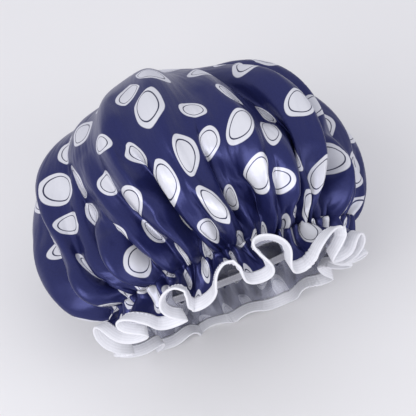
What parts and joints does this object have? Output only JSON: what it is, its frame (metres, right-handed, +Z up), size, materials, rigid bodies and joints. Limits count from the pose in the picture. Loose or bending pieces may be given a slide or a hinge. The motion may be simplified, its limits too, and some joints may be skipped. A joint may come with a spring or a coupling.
{
  "type": "shower cap",
  "caption": "Puffed satin shower cap with a film lining, gathered on a flat elastic, with a ruffled, tape-bound edge, lying on its side with its mouth to the front.",
  "frame": {"origin": "on the table under the middle of the whole cap, at the centre of the bottom face of its bounding box", "axes": "+Z up from the table; -Y towards the mouth, which opens to the front and slightly down; +X to the right of someone who looks into the mouth from the front; the cap's own axis leans in the YZ plane, towards +Y and 28 degrees above the table"},
  "size_m": [0.258, 0.2468, 0.2484],
  "materials": {
    "satin": "glossy navy polyester satin printed with white pebble-shaped dots",
    "film": "thin milky translucent plastic film, smooth",
    "elastic": "white flat knitted elastic with lengthwise ribs",
    "binding": "soft white folded bias tape, matte, finely woven",
    "thread": "white polyester sewing thread"
  },
  "bodies": {
    "root": {"satin_shell": "satin", "film_liner": "film", "elastic_band": "elastic", "edge_binding": "binding", "binding_seam": "thread", "elastic_seam_crown_side": "thread", "elastic_seam_ruffle_side": "thread", "elastic_lap_stitch": "thread"}
  },
  "joints": []
}
